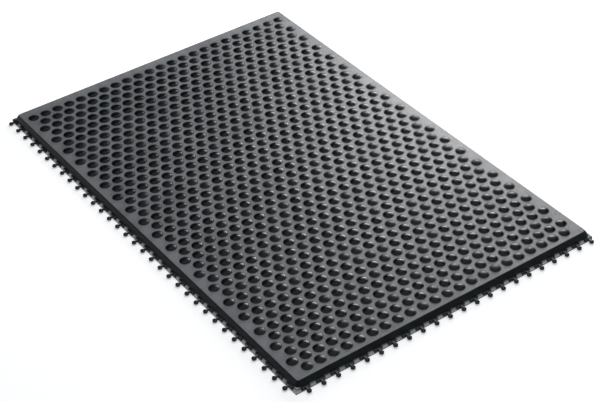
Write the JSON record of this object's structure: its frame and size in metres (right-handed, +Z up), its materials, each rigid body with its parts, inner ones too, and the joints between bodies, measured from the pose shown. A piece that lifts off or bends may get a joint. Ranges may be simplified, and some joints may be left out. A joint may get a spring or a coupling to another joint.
{
  "type": "anti fatigue mat",
  "caption": "Rectangular cushioned floor mat with a bubble top, bevelled edges, snap tabs on two sides and sockets under the other two.",
  "frame": {"origin": "on the floor under the middle of the whole outline, tabs included", "axes": "+Z up from the floor, X along the short side and Y along the long side, with the tabs on the -X and -Y sides"},
  "size_m": [0.6108, 0.9108, 0.019],
  "materials": {
    "matte_rubber": "fine matte grain",
    "polished_rubber": "smooth and glossy, straight from a polished mould",
    "foam": "closed cell sponge"
  },
  "bodies": {
    "root": {"top_sheet": "matte_rubber", "bubbles": "polished_rubber", "cushion_core": "foam", "base_sheet": "matte_rubber", "short_side_tabs": "polished_rubber", "long_side_tabs": "polished_rubber", "short_side_socket_rail": "matte_rubber", "long_side_socket_rail": "matte_rubber"}
  },
  "joints": []
}
